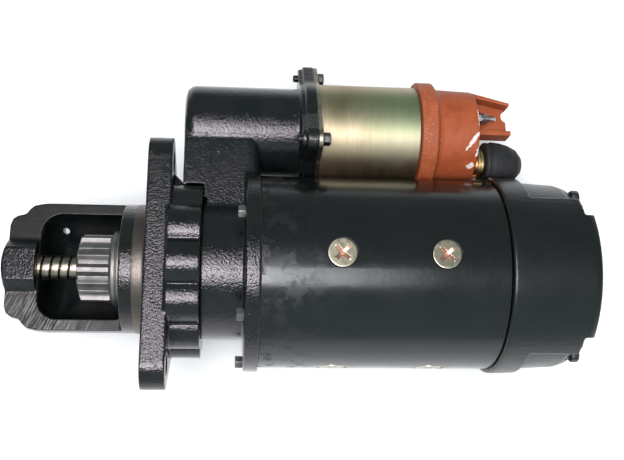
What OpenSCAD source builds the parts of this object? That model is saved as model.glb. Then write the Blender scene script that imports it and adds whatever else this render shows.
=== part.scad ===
// Heavy-duty starter motor with a piggyback solenoid, lying on its side.
// +X runs along the shaft from the nose to the commutator end, +Y points from
// the shaft to the solenoid, +Z is up. The origin is the centre of the pilot
// on the mounting flange's face.

/* [Nose and flange] */
// Diameter of the pilot that centres the starter in the bell housing
pilot_d = 88.9; // [88.9:0.1:92.1]
// Length of the nose in front of the flange face
nose_len = 98.5; // [96:0.5:102]
// Thickness of the mounting flange
flange_t = 16; // [14:0.5:18]
// Diameter of the circle through the three mounting holes
hole_circle_d = 149; // [146:1:152]
// Radius of the flange's corners around the holes
lug_r = 16.5; // [15:0.5:17.5]
// Diameter of the mounting holes
hole_d = 13.5; // [11:0.5:14.5]
// Number of scallops on the ring behind the flange
scallops = 12; // [8:1:14]
// Outer diameter of the scalloped ring
scallop_d = 121; // [118:0.5:124]

/* [Drive] */
// Number of teeth on the pinion
pinion_teeth = 13; // [11:1:14]
// Outer diameter of the pinion
pinion_d = 46.4; // [44:0.2:48]
// How far the pinion moves into mesh
mesh_travel = 22; // [18:0.5:23]
// Diameter of the shaft in the nose
nose_shaft_d = 17; // [16:0.5:18]

/* [Motor] */
// Outer diameter of the yoke
yoke_d = 133; // [132:0.5:134]
// Length of the yoke
yoke_len = 159.5; // [159:0.5:160]
// Outer diameter of the end cap's front band
cap_d = 139; // [138:0.5:141]
// Outer diameter of the lever housing's rear flange
rear_flange_d = 139; // [138:0.5:141]

/* [Solenoid] */
// Distance from the shaft axis to the solenoid axis
sol_y = 103; // [102.5:0.1:103.5]
// Outer diameter of the solenoid case
sol_d = 70.6; // [70:0.1:71]
// Length of the solenoid case behind its flange plate
sol_len = 70.5; // [70:0.5:71]
// Travel of the plunger
plunger_travel = 13.4; // [12:0.1:14]

/* [Hidden] */
$fn = 64;
// radial running clearance of shafts and pins
run = 0.05;

pilot_r = pilot_d / 2;
nose_r = pilot_r - 0.25;
pilot_x = -8;
collar_x = -10;
ring_front_x = -16.5;
cavity_x = -73;
cavity_r = 36.7;
drive_bore_r = 33.5;
window_z = 7;
joint_x = 36;
spigot_r = 45;
spigot_len = 5;
lobe_r = 17;
lobe_at = scallop_d / 2 - lobe_r;
lobe_turn = 5;
hole_angles = [25, 155, 270];
// directions that the sides between the corners face, the first one again at the end
side_angles = [-32.5, 90, 212.5, 327.5];
fillet_d = 132;
fillet_z1 = 24;
boss_x = -74.5;
boss_half = 17.8;
boss_top_half = 10.9;
boss_top = 15;
bush_r = 11;
bush_x0 = -93;
drain_at = [-62.3, 29.8, -16];
drain_turn = 194;
nose_shaft_r = nose_shaft_d / 2;

neck_r = 48;
neck_in_r = 43;
neck_wall = 8;
neck_x1 = 64.5;
rear_flange_x1 = 74.5;
slab_x0 = 22;
slab_x1 = 66;
slab_z = 28;
slab_end_r = 8;
slab_bottom = 62;
slab_low = 45;
slab_wall = 5.5;
slot_z = 24.9;
pin_half = 26.5;
pin_r = 4;
slot_x0 = 40.5;
slot_x1 = 62;
barrel_x0 = 21.5;
barrel_x1 = 102;
barrel_r = 31.5;
barrel_in_r = 27;
mount_x1 = 113;
ear_at = 44.5;
ear_r = 9;
ear_turn = -5;
ear_step = 120;
nose_screw_at = 38.5;
nose_screw_angles = [85, 132.5, 180, 227.5, 275];
flange_bolt_at = 63;
flange_bolt_angles = [64.5, 127, 185, 245, 305];
flange_bolt_head = 8;

gasket_t = 0.5;
yoke_x0 = rear_flange_x1 + gasket_t;
yoke_x1 = yoke_x0 + yoke_len;
yoke_r = yoke_d / 2;
yoke_in_r = yoke_r - 10;
pole_xs = [125.7, 192.8];
pole_mid = (pole_xs[0] + pole_xs[1]) / 2;
pole_half = 55;
pole_face_r = 42.8;
pole_angle = 34;
screw_head_r = 9.4;
screw_r = 5;
coil_x1 = pole_mid + pole_half + 9;

core_r = 42;
core_x0 = pole_mid - 54;
core_x1 = pole_mid + 54;
slot_count = 23;
shaft_r = 11;
spline_x0 = 16;
spline_x1 = 66.5;
spline_count = 6;
bearing_x0 = 67;
bearing_x1 = 73;
comm_x0 = 230;
comm_x1 = 262;
comm_r = 24;
rear_shaft_r = 7.5;
rear_bush_x0 = 277;

cap_x0 = yoke_x1 + 0.8;
cap_x1 = 296;
cap_front_r = cap_d / 2;
cap_rear_r = cap_front_r - 1.5;
cap_recess_r = 66;
cap_recess_x = 254;
cap_recess_side = 52;
cap_notch_side = 40.6;
cap_notch_x = 288;
cap_turn = 11;
cap_in_r = 54;
cap_bolt_at = [54, 27.3];
cap_screw_at = [45, 38];
brush_x0 = 240;
brush_x1 = 256;
brush_plate_x = 264;
cap_shoulder_x = 267;

clutch_r = 31.5;
clutch_x0 = -17.5;
clutch_x1 = 22;
sleeve_r = 15;
collar_in_x = 56.5;
groove_w = 7;
collar_r = 20;
groove_r = 16.6;
pad_x = collar_in_x + groove_w / 2;
pad_r = groove_w / 2 - 0.3;
roller_count = 7;
roller_r = 3.5;
pinion_x0 = -47.2;
pinion_x1 = -25.4;
pinion_root_r = 17.2;
pinion_tail_r = 14;
pinion_bore_r = nose_shaft_r + run;

lever_x = pad_x - mesh_travel / 2;
lever_y = sol_y * mesh_travel / (mesh_travel + plunger_travel);
lever_up = sol_y - lever_y;
lever_angle = atan2(mesh_travel / 2, lever_y);
lever_low = norm([mesh_travel / 2, lever_y]);
rod_x = lever_x - lever_up * tan(lever_angle);
fork_z0 = 20.5;
fork_z1 = 24.5;
fork_gap = 0.4;

sol_r = sol_d / 2;
plate_x0 = mount_x1;
plate_x1 = 116;
case_x1 = plate_x1 + sol_len;
plunger_r = 16;
plunger_x1 = 145;
plunger_x0 = 88;
core_face_x = plunger_x1 + plunger_travel + 0.2;
bobbin_r = plunger_r + 0.08;
scap_x0 = case_x1;
scap_x1 = scap_x0 + 11.8;
scap_x2 = 228.5;
hood_x1 = 256;
hood_z0 = 1.2;
hood_z1 = 14;
hood_end_r = 27;
hood_floor_t = 2.8;
motor_stud = [81.5, 4];
battery_stud = [115.5, -17];
switch_stud = [115.1, 9.5];
stud_r = 5;
nut_x1 = 240.2;
washer_x1 = 235.6;
switch_nut_x1 = 240.6;
contact_r = 6.2;
disc_x0 = 191;
disc_travel = 11;

// ---------- shared shapes ----------

// turns a shape built along Z so that it runs along X
module along_x(x = 0) {
  translate([x, 0, 0]) rotate([0, 90, 0]) children();
}

module rod(x0, x1, r) {
  along_x(x0) cylinder(h = x1 - x0, r = r);
}

module tube(x0, x1, r_out, r_in) {
  difference() {
    rod(x0, x1, r_out);
    rod(x0 - 1, x1 + 1, r_in);
  }
}

// a solid of revolution about X; the points are [radius, x]
module revolve(points) {
  along_x() rotate_extrude() polygon(points);
}

// places children at polar positions about X; 0 degrees is +Y, 90 is +Z
module around(angle, r) {
  rotate([angle, 0, 0]) translate([0, r, 0]) children();
}

module at_solenoid() {
  translate([0, sol_y, 0]) children();
}

// a 2D shape in the YZ plane, extruded from x0 to x1
module slab_yz(x0, x1) {
  translate([x0, 0, 0]) rotate([90, 0, 90]) linear_extrude(height = x1 - x0) children();
}

// hexagon across flats, axis along X
module hex(x0, x1, flats) {
  along_x(x0) cylinder(h = x1 - x0, r = flats / 2 / cos(30), $fn = 6);
}

// hexagon-head bolt whose head spans x0 to x1 and whose shank ends at x2
module hex_bolt(x0, x1, x2, flats, r) {
  hex(min(x0, x1), max(x0, x1), flats);
  rod(min(x1, x2), max(x1, x2), r);
}

// helical wire with round ends cut square, axis along X
module coil_spring(x0, x1, r, wire_r, turns, sides = 8, steps = 18) {
  rings = turns * steps;
  pitch = (x1 - x0 - 2 * wire_r) / turns;
  points = [
    for (i = [0:rings], j = [0:sides - 1])
      let (a = 360 * i / steps, b = 360 * j / sides, rr = r + wire_r * cos(b))
        [x0 + wire_r + pitch * i / steps + wire_r * sin(b), rr * cos(a), rr * sin(a)]
  ];
  walls = [
    for (i = [0:rings - 1], j = [0:sides - 1])
      let (k = (j + 1) % sides, p = i * sides, q = (i + 1) * sides)
        [p + j, q + j, q + k, p + k]
  ];
  first = [for (j = [0:sides - 1]) j];
  last = [for (j = [sides - 1:-1:0]) rings * sides + j];
  polyhedron(points, concat([first, last], walls));
}

// ---------- nose ----------

// triangle with its corners rounded about the mounting holes and one flat side upwards
module flange_outline() {
  // the sides cut just into the corners, where true tangents would leave slivers
  out = lug_r - 0.06;
  for (a = hole_angles) rotate(a) translate([hole_circle_d / 2, 0]) circle(r = lug_r);
  polygon([
    for (i = [0:2], n = [side_angles[i], side_angles[i + 1]])
      let (a = hole_angles[i])
        [hole_circle_d / 2 * cos(a) + out * cos(n), hole_circle_d / 2 * sin(a) + out * sin(n)]
  ]);
}

module scallop_outline() {
  circle(r = lobe_at + 8);
  for (i = [0:scallops - 1])
    rotate(lobe_turn + i * 360 / scallops) translate([0, lobe_at]) circle(r = lobe_r);
}

module nose_profile() {
  revolve([
    [0, -nose_len], [9, -nose_len + 0.4], [14, -nose_len + 1.6], [17.5, -nose_len + 4],
    [29, -nose_len + 4], [33, -nose_len + 5.4], [35.2, -nose_len + 8.5],
    [36.6, -nose_len + 14], [39.6, -nose_len + 16], [42.6, -nose_len + 19.5],
    [nose_r - 0.4, -nose_len + 25], [nose_r, -nose_len + 31], [nose_r, collar_x],
    [nose_r - 1, collar_x], [nose_r - 1, pilot_x], [pilot_r - 0.5, pilot_x],
    [pilot_r, pilot_x + 0.6], [pilot_r, 1], [0, 1]
  ]);
}

// rounded space around the pinion; the end wall meets the sides in a large radius
module nose_cavity() {
  corner = 13;
  along_x() rotate_extrude() {
    translate([0, cavity_x]) square([cavity_r - corner, 20]);
    translate([0, cavity_x + corner]) square([cavity_r, ring_front_x - cavity_x - corner - 5]);
    translate([0, cavity_x + corner]) square([cavity_r - 5, ring_front_x - cavity_x - corner]);
    translate([cavity_r - corner, cavity_x + corner]) circle(r = corner);
    translate([cavity_r - 5, ring_front_x - 5]) circle(r = 5);
  }
}

// ridge that carries the bush above the cut-away half of the nose
module bush_ridge() {
  intersection() {
    slab_yz(-nose_len, boss_x)
      polygon([[-boss_half, 0], [boss_half, 0], [boss_half, window_z],
               [boss_top_half, boss_top], [-boss_top_half, boss_top], [-boss_half, window_z]]);
    revolve([[0, -nose_len], [9, -nose_len + 0.4], [14, -nose_len + 1.6], [19, -nose_len + 4],
             [24, -nose_len + 9], [24, boss_x], [0, boss_x]]);
  }
}

module drive_end_casting() {
  difference() {
    union() {
      difference() {
        nose_profile();
        translate([-nose_len - 1, -60, window_z]) cube([nose_len + 1 + ring_front_x, 120, 60]);
        nose_cavity();
      }
      bush_ridge();
      difference() {
        union() {
          slab_yz(0, flange_t) flange_outline();
          intersection() {
            slab_yz(flange_t - 1, flange_t + 8) flange_outline();
            translate([0, 0, -fillet_d]) cube([2 * flange_t, fillet_d, fillet_d + fillet_z1]);
            revolve([[0, flange_t - 1], [fillet_d / 2, flange_t - 1], [fillet_d / 2, flange_t],
                     [scallop_d / 2 - 1.5, flange_t + 7], [0, flange_t + 7]]);
          }
        }
        for (a = hole_angles) around(a, hole_circle_d / 2) rod(-1, flange_t + 1, hole_d / 2);
      }
      slab_yz(flange_t - 1.5, joint_x) scallop_outline();
      rod(joint_x - 1, joint_x + spigot_len, spigot_r - run);
    }
    rod(ring_front_x - 6, joint_x + spigot_len + 1, drive_bore_r);
    rod(bush_x0, cavity_x + 2, bush_r);
    translate(drain_at) rotate([drain_turn, 0, 0]) cylinder(h = 25, r = 2.2);
    for (a = nose_screw_angles) around(a, nose_screw_at) rod(20, 50, 2.5);
    translate([joint_x - 0.5, 14, -slot_z]) cube([10, 50, 2 * slot_z]);
  }
}

// the part of the casting in front of the groove behind the collar
module nose_half() {
  translate([-nose_len - 1, -60, -60]) cube([nose_len + 1 + collar_x, 120, 120]);
}

module drive_end_nose() {
  color("dimgray")
  intersection() {
    drive_end_casting();
    nose_half();
  }
}

module drive_end_housing() {
  color("dimgray")
  difference() {
    drive_end_casting();
    nose_half();
  }
}

module nose_bush() {
  color("darkgoldenrod") tube(bush_x0, boss_x, bush_r, nose_shaft_r + run);
}

module nose_screws() {
  color("gray")
  for (a = nose_screw_angles)
    around(a, nose_screw_at)
      difference() {
        union() {
          rod(20, 49, 2.5);
          rod(joint_x + neck_wall + spigot_len - 1, 52, 4.2);
        }
        hex(49.5, 53, 4);
      }
}

// ---------- lever housing ----------

// flange outline around the solenoid axis, with three ears joined by straight sides
module mount_outline(grow = 0) {
  circle(r = 37 + grow);
  for (i = [0:2])
    rotate(ear_turn + i * ear_step) translate([ear_at, 0]) circle(r = ear_r + grow);
  reach = ear_at;
  // the straight sides cut just into the ears, where true tangents would leave slivers
  out = ear_r + grow - 0.06;
  polygon([
    for (i = [0:2], s = [-1, 1])
      let (a = ear_turn + i * ear_step, n = a + s * ear_step / 2)
        [reach * cos(a) + out * cos(n), reach * sin(a) + out * sin(n)]
  ]);
}

module lever_housing_outside() {
  rod(joint_x, neck_x1 + 1, neck_r);
  revolve([[0, neck_x1], [rear_flange_d / 2 - 0.8, neck_x1], [rear_flange_d / 2, neck_x1 + 0.8],
           [rear_flange_d / 2, rear_flange_x1], [0, rear_flange_x1]]);
  difference() {
    translate([slab_x0, slab_low, -slab_z]) cube([slab_x1 - slab_x0, sol_y - slab_low, 2 * slab_z]);
    rod(slab_x0 - 1, joint_x, scallop_d / 2 + 0.4);
  }
  translate([joint_x + 2, 20, -slab_z]) cube([slab_x1 - joint_x - 2, slab_bottom - 19, 2 * slab_z]);
  translate([slab_x1 - 1, 20, slab_end_r - slab_z]) cube([slab_end_r + 1, slab_bottom + 6, 2 * (slab_z - slab_end_r)]);
  for (s = [-1, 1])
    translate([slab_x1, 20, s * (slab_z - slab_end_r)]) rotate([-90, 0, 0]) cylinder(h = slab_bottom + 6, r = slab_end_r);
  at_solenoid() {
    revolve([[0, barrel_x0], [barrel_r - 6, barrel_x0], [barrel_r - 2.4, barrel_x0 + 1.5],
             [barrel_r - 0.5, barrel_x0 + 4.5], [barrel_r, barrel_x0 + 7],
             [barrel_r, barrel_x1 + 1], [0, barrel_x1 + 1]]);
    slab_yz(barrel_x1, barrel_x1 + 3.5) mount_outline(-2);
    slab_yz(barrel_x1 + 3.4, mount_x1) mount_outline();
  }
}

// room for the yoke beside the solenoid's parts
module yoke_clearance() {
  rod(yoke_x0, scap_x2, yoke_r + 0.4);
}

module lever_housing() {
  color("dimgray")
  difference() {
    lever_housing_outside();
    rod(joint_x - 1, joint_x + spigot_len, spigot_r);
    rod(joint_x - 1, joint_x + neck_wall + spigot_len, drive_bore_r);
    rod(joint_x + neck_wall + spigot_len - 1, bearing_x0 + 1, neck_in_r);
    rod(bearing_x0, rear_flange_x1 + 1, 55);
    translate([joint_x - 1, 10, -slot_z]) cube([slot_x1 - joint_x + 1, 34, 2 * slot_z]);
    translate([slot_x0, 40, -slot_z]) cube([slot_x1 - slot_x0, sol_y - 40, 2 * slot_z]);
    translate([slab_x0 + slab_wall, slab_bottom + slab_wall, -slot_z])
      cube([slot_x1 - slab_x0 - slab_wall, sol_y - slab_bottom - slab_wall, 2 * slot_z]);
    at_solenoid() rod(barrel_x0 + 5, mount_x1 + 1, barrel_in_r);
    translate([lever_x, lever_y, -pin_half]) cylinder(h = 2 * pin_half, r = pin_r);
    for (a = nose_screw_angles) around(a, nose_screw_at) rod(joint_x - 1, 60, 2.5);
    for (a = flange_bolt_angles) around(a, flange_bolt_at) rod(60, 80, 2.6);
    at_solenoid() for (i = [0:2]) around(ear_turn + i * ear_step, ear_at) rod(95, 120, 2.6);
    yoke_clearance();
  }
}

module lever_housing_bolts() {
  color("black")
  for (a = flange_bolt_angles)
    around(a, flange_bolt_at) hex_bolt(neck_x1 - 5, neck_x1, 86, flange_bolt_head, 2.6);
}

module centre_bearing_plate() {
  color("silver")
  difference() {
    union() {
      rod(bearing_x0, bearing_x1, 55);
      rod(bearing_x0, 82, 20);
    }
    rod(bearing_x0 - 1, 83, 15);
  }
}

module centre_bush() {
  color("darkgoldenrod") tube(bearing_x0, 82, 15, 12.5 + run);
}

module yoke_gasket() {
  color("black")
  difference() {
    tube(rear_flange_x1, yoke_x0, yoke_r - 0.2, yoke_in_r);
    for (a = flange_bolt_angles) around(a, flange_bolt_at) rod(70, 80, 2.6);
  }
}

// ---------- yoke and field ----------

// countersunk pocket and clear hole for a pole screw, pointing along +Z
module pole_screw_hole() {
  translate([0, 0, yoke_r - 1.2]) cylinder(h = 5, r = screw_head_r + 0.7);
  translate([0, 0, yoke_r - 1.2 - 5]) cylinder(h = 5.01, r1 = screw_r, r2 = screw_head_r + 0.3);
  translate([0, 0, yoke_in_r - 2]) cylinder(h = 12, r = screw_r);
}

module each_pole_screw() {
  for (q = [0:3], x = pole_xs) rotate([q * 90, 0, 0]) translate([x, 0, 0]) children();
}

module yoke() {
  color("black")
  difference() {
    tube(yoke_x0, yoke_x1, yoke_r, yoke_in_r);
    each_pole_screw() pole_screw_hole();
    for (a = flange_bolt_angles) around(a, flange_bolt_at) rod(70, 88, 2.6);
    cap_frame() for (s = [-1, 1], t = [-1, 1]) translate([0, s * cap_bolt_at[0], t * cap_bolt_at[1]]) rod(215, 240, 3);
    translate([yoke_x1 - 9, 50, -8]) cube([10, 20, 16]);
  }
}

// one pole shoe, above the shaft on +Z
module pole_shoe(turn) {
  color("slategray")
  rotate([turn, 0, 0])
    difference() {
      intersection() {
        tube(pole_mid - pole_half, pole_mid + pole_half, yoke_in_r, pole_face_r);
        union() {
          translate([0, -14, 0]) cube([300, 28, 80]);
          intersection() {
            tube(0, 300, pole_face_r + 4, 10);
            slab_yz(0, 300) polygon([[0, 0], [90 * sin(pole_angle), 90 * cos(pole_angle)],
                                     [-90 * sin(pole_angle), 90 * cos(pole_angle)]]);
          }
        }
      }
      for (x = pole_xs) translate([x, 0, pole_face_r + 3]) cylinder(h = 30, r = screw_r - 0.4);
    }
}

// one field coil, wound around the pole's neck
module field_coil(turn) {
  out = 26;
  color("peru")
  rotate([turn, 0, 0])
    difference() {
      intersection() {
        tube(pole_mid - pole_half - 9, coil_x1, yoke_in_r - 0.6, pole_face_r + 4.3);
        translate([0, -out, 20]) cube([300, 2 * out, 60]);
      }
      translate([pole_mid - pole_half - 0.4, -14.3, 20]) cube([2 * pole_half + 0.8, 28.6, 60]);
    }
}

module pole_screw() {
  difference() {
    union() {
      translate([0, 0, yoke_r - 6.2]) cylinder(h = 5, r1 = screw_r - 0.4, r2 = screw_head_r);
      translate([0, 0, yoke_r - 1.2]) cylinder(h = 0.9, r = screw_head_r);
      translate([0, 0, pole_face_r + 4]) cylinder(h = yoke_r - pole_face_r - 9, r = screw_r - 0.4);
    }
    for (a = [45, 135])
      rotate(a) translate([-5.6, -1.1, yoke_r - 3.6]) cube([11.2, 2.2, 5]);
    translate([0, 0, yoke_r - 4.6]) cylinder(h = 6, r1 = 1.2, r2 = 2.9);
  }
}

module pole_screws() {
  color("goldenrod") each_pole_screw() pole_screw();
}

// ---------- commutator end ----------

module cap_frame() {
  rotate([cap_turn, 0, 0]) children();
}

module cap_body() {
  difference() {
    revolve([[0, cap_x0], [cap_front_r - 0.8, cap_x0], [cap_front_r, cap_x0 + 1.2],
             [cap_front_r, cap_x0 + 6], [cap_rear_r, cap_x1 - 5], [cap_rear_r - 1.2, cap_x1 - 1.6],
             [cap_rear_r - 4, cap_x1], [0, cap_x1]]);
    cap_frame() for (s = [-1, 1])
      translate([cap_recess_x, s > 0 ? cap_recess_side : -cap_recess_side - 40, -80]) cube([60, 40, 160]);
  }
  revolve([[0, cap_x0 + 2], [cap_recess_r, cap_x0 + 2], [cap_recess_r, cap_recess_x + 6],
           [cap_recess_r - 1.2, cap_x1 - 14], [cap_recess_r - 3.5, cap_x1 - 7],
           [cap_recess_r - 8, cap_x1 - 1], [0, cap_x1 - 1]]);
  rod(yoke_x1 - 7, cap_x0 + 1, yoke_in_r - 0.1);
  revolve([[0, cap_x1 - 1], [22, cap_x1 - 1], [20.5, cap_x1 + 6.5], [19, cap_x1 + 8], [0, cap_x1 + 8]]);
}

module commutator_end_cap() {
  color("black")
  difference() {
    cap_body();
    cap_frame() for (s = [-1, 1])
      translate([cap_notch_x, s > 0 ? cap_notch_side : -cap_notch_side - 40, -80]) cube([60, 40, 160]);
    rod(yoke_x1 - 8, cap_shoulder_x, cap_in_r);
    tube(cap_shoulder_x - 1, 286, 34, 17);
    rod(cap_shoulder_x - 1, rear_bush_x0 - 1, 20);
    rod(rear_bush_x0 - 1, 298, 11);
    cap_frame() for (s = [-1, 1], t = [-1, 1]) {
      translate([0, s * cap_bolt_at[0], t * cap_bolt_at[1]]) rod(220, 300, 3);
      translate([0, s * cap_screw_at[0], t * cap_screw_at[1]]) rod(267, 300, 2);
    }
    translate([yoke_x1 - 10, 50, -8.2]) cube([11, 20, 16.4]);
  }
}

module rear_bush() {
  color("darkgoldenrod") tube(rear_bush_x0, 297, 11, rear_shaft_r + run);
}

module cap_bolts() {
  color("black")
  cap_frame() for (s = [-1, 1], t = [-1, 1])
    translate([0, s * cap_bolt_at[0], t * cap_bolt_at[1]])
      hex_bolt(cap_notch_x + 5.5, cap_notch_x, 216, 9, 3);
}

module cap_screws() {
  color("black")
  cap_frame() for (s = [-1, 1], t = [-1, 1])
    translate([0, s * cap_screw_at[0], t * cap_screw_at[1]])
      hex_bolt(cap_notch_x + 4, cap_notch_x, 268, 7, 2);
}

module brush_plate() {
  color("burlywood")
  difference() {
    rod(brush_plate_x, cap_shoulder_x, 52);
    rod(brush_plate_x - 1, cap_shoulder_x + 1, 27);
  }
}

module each_brush() {
  for (q = [0:3]) rotate([45 + q * 90, 0, 0]) children();
}

module brush_holders() {
  color("goldenrod")
  each_brush()
    difference() {
      translate([brush_x0 - 1.5, -8.5, 29]) cube([brush_plate_x - brush_x0 + 1.5, 17, 22.5]);
      translate([brush_x0 - 0.3, -7.1, 28]) cube([brush_x1 - brush_x0 + 0.6, 14.2, 22.2]);
    }
}

module carbon_brushes() {
  color("dimgray")
  each_brush()
    difference() {
      translate([brush_x0, -6.8, comm_r - 1]) cube([brush_x1 - brush_x0, 13.6, 18]);
      rod(200, 300, comm_r + 0.3);
    }
}

module brush_springs() {
  color("silver")
  each_brush()
    translate([(brush_x0 + brush_x1) / 2, 0, 0]) rotate([0, -90, 0])
      coil_spring(comm_r + 17.2, 50, 4, 0.7, 4, 6, 12);
}

// ---------- armature ----------

module splines(grow) {
  for (i = [0:spline_count - 1])
    rotate([i * 360 / spline_count, 0, 0])
      translate([spline_x0, -1.5 - grow, 0]) cube([spline_x1 - spline_x0, 3 + 2 * grow, shaft_r + 1.5 + grow]);
}

module armature_shaft() {
  color("silver") {
    revolve([[0, -90], [nose_shaft_r - 0.8, -90], [nose_shaft_r, -89.2], [nose_shaft_r, 14],
             [shaft_r, 15], [shaft_r, 66.8], [12.5, 66.8], [12.5, 84], [14, 84],
             [14, comm_x0], [12, comm_x0], [12, comm_x1 + 3], [rear_shaft_r, comm_x1 + 3],
             [rear_shaft_r, 289.2], [rear_shaft_r - 0.8, 290], [0, 290]]);
    splines(0);
  }
}

module armature_core() {
  color("darkslategray")
  slab_yz(core_x0, core_x1)
    difference() {
      circle(r = core_r);
      circle(r = 14);
      for (i = [0:slot_count - 1])
        rotate(i * 360 / slot_count) {
          translate([core_r - 13, -1.9]) square([10.5, 3.8]);
          translate([core_r - 4, -0.9]) square([5, 1.8]);
        }
    }
}

module armature_winding() {
  color("chocolate") {
    for (i = [0:slot_count - 1])
      rotate([i * 360 / slot_count, 0, 0])
        translate([core_x0 - 5, core_r - 12.6, -1.6]) cube([core_x1 - core_x0 + 10, 8.6, 3.2]);
    revolve([[16, core_x0 - 14], [30, core_x0 - 14], [38.5, core_x0 - 8], [38.5, core_x0 - 1],
             [27, core_x0 - 1], [20, core_x0 - 6], [16, core_x0 - 8]]);
    revolve([[16, core_x1 + 8], [20, core_x1 + 6], [27, core_x1 + 1], [38.5, core_x1 + 1],
             [38.5, core_x1 + 8], [30, core_x1 + 14], [16, core_x1 + 14]]);
  }
}

module commutator() {
  color("orangered")
  difference() {
    union() {
      rod(comm_x0, comm_x1, comm_r);
      rod(comm_x0, comm_x0 + 4, comm_r + 5);
    }
    rod(comm_x0 - 1, comm_x1 + 1, 12);
    for (i = [0:slot_count - 1])
      rotate([i * 360 / slot_count, 0, 0])
        translate([comm_x0 - 1, comm_r - 1, -0.4]) cube([comm_x1 - comm_x0 + 2, 8, 0.8]);
  }
}

// ---------- clutch and pinion ----------

module pinion_outline() {
  tooth_root = pinion_root_r * sin(360 / pinion_teeth * 0.29);
  tooth_tip = pinion_d / 2 * sin(360 / pinion_teeth * 0.125);
  mid = (pinion_root_r + pinion_d / 2) / 2;
  tooth_mid = mid * sin(360 / pinion_teeth * 0.235);
  circle(r = pinion_root_r);
  intersection() {
    circle(r = pinion_d / 2);
    for (i = [0:pinion_teeth - 1])
      rotate(90 + i * 360 / pinion_teeth)
        polygon([[pinion_root_r - 2, -tooth_root], [pinion_root_r, -tooth_root], [mid, -tooth_mid],
                 [pinion_d / 2 + 0.5, -tooth_tip], [pinion_d / 2 + 0.5, tooth_tip],
                 [mid, tooth_mid], [pinion_root_r, tooth_root], [pinion_root_r - 2, tooth_root]]);
  }
}

module drive_pinion() {
  color("silver")
  difference() {
    union() {
      intersection() {
        slab_yz(pinion_x0, pinion_x1 + 1) pinion_outline();
        revolve([[0, pinion_x0], [pinion_root_r, pinion_x0], [pinion_d / 2 + 1, pinion_x0 + 2.4],
                 [pinion_d / 2 + 1, pinion_x1 + 1], [0, pinion_x1 + 1]]);
      }
      revolve([[0, pinion_x1], [pinion_d / 2 - 0.6, pinion_x1], [26, pinion_x1 + 2],
               [26, clutch_x0 - 3.6], [25.2, clutch_x0 - 3.2], [25.2, clutch_x0 - 2.8],
               [26.4, clutch_x0 - 2.4], [26.4, clutch_x0 - 0.4], [0, clutch_x0 - 0.4]]);
      rod(clutch_x0 - 1, 13.5, pinion_tail_r);
    }
    rod(pinion_x0 - 1, 15, pinion_bore_r);
  }
}

module clutch_shell() {
  color("gray")
  difference() {
    union() {
      rod(clutch_x0 + 4, clutch_x1, clutch_r);
      rod(clutch_x1 - 1, clutch_x1 + 3, 19);
    }
    rod(clutch_x0 + 3, clutch_x1 - 6, 21.3);
    rod(clutch_x1 - 7, clutch_x1 + 4, sleeve_r);
  }
}

module clutch_cover() {
  color("silver")
  tube(clutch_x0, clutch_x0 + 4, clutch_r, pinion_tail_r + 0.4);
}

module clutch_rollers() {
  color("lightgray")
  for (i = [0:roller_count - 1])
    around(i * 360 / roller_count, pinion_tail_r + roller_r + 0.05) rod(clutch_x0 + 4.3, 13, roller_r);
}

module clutch_sleeve() {
  color("gray")
  difference() {
    rod(spline_x0, collar_in_x, sleeve_r);
    rod(spline_x0 - 1, collar_in_x + 1, shaft_r + run);
    splines(0.15);
  }
}

module fork_collar() {
  end = collar_in_x + groove_w;
  color("silver")
  difference() {
    union() {
      rod(collar_in_x - 2, collar_in_x, collar_r);
      rod(collar_in_x - 2, end + 2, groove_r);
      rod(end, end + 2, collar_r);
    }
    rod(collar_in_x - 3, collar_in_x, sleeve_r);
    rod(collar_in_x - 3, end + 3, shaft_r + 1.9);
  }
}

module mesh_spring() {
  color("gray") coil_spring(clutch_x1 + 3.2, collar_in_x - 2.2, 20.5, 1.8, 5);
}

// ---------- shift lever ----------

// places a shape drawn with the lever upright so that it stands in the rest position
module lever_rest() {
  translate([lever_x, lever_y, 0]) rotate([0, 0, lever_angle]) children();
}

module shift_lever() {
  color("slategray")
  difference() {
    lever_rest() {
      translate([0, 0, -fork_z1]) cylinder(h = 2 * fork_z1, r = 7.5);
      translate([-3, 0, -5]) cube([6, lever_up, 10]);
      translate([0, lever_up / cos(lever_angle), -5]) cylinder(h = 10, r = 4.2);
      for (s = [-1, 1])
        mirror([0, 0, s > 0 ? 0 : 1]) translate([0, -lever_low, 0]) {
          translate([-4, 0, fork_z0]) cube([8, lever_low, fork_z1 - fork_z0]);
          translate([0, 0, fork_z0]) cylinder(h = fork_z1 - fork_z0, r = 4);
          translate([0, 0, groove_r + fork_gap]) cylinder(h = 6, r = pad_r);
        }
    }
    translate([lever_x, lever_y, -slab_z]) cylinder(h = 2 * slab_z, r = pin_r + run);
  }
}

module lever_pivot_pin() {
  color("silver")
  translate([lever_x, lever_y, -pin_half]) cylinder(h = 2 * pin_half, r = pin_r);
}

// ---------- solenoid ----------

module plunger() {
  color("silver")
  at_solenoid()
    difference() {
      rod(plunger_x0, plunger_x1, plunger_r);
      rod(plunger_x1 - 12, plunger_x1 + 1, 10);
      rod(plunger_x0 - 1, plunger_x0 + 12, 4);
    }
}

module plunger_rod() {
  color("gray")
  at_solenoid()
    difference() {
      union() {
        rod(rod_x - 12, plunger_x0 + 12, 4);
        translate([rod_x - 12, -6, -9]) cube([24, 12, 18]);
      }
      translate([rod_x - 4.5, -20, -5.4]) cube([9, 40, 10.8]);
    }
}

module return_spring() {
  color("silver") at_solenoid() coil_spring(plunger_x1 - 11.8, core_face_x + 9.8, 7.6, 0.9, 7);
}

module ear_holes() {
  for (i = [0:2]) around(ear_turn + i * ear_step, ear_at) rod(90, 125, 2.6);
}

module solenoid_flange_plate() {
  color("goldenrod")
  difference() {
    at_solenoid()
      difference() {
        slab_yz(plate_x0, plate_x1) mount_outline(-0.6);
        rod(plate_x0 - 1, plate_x1 + 1, bobbin_r);
        ear_holes();
      }
    yoke_clearance();
  }
}

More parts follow.
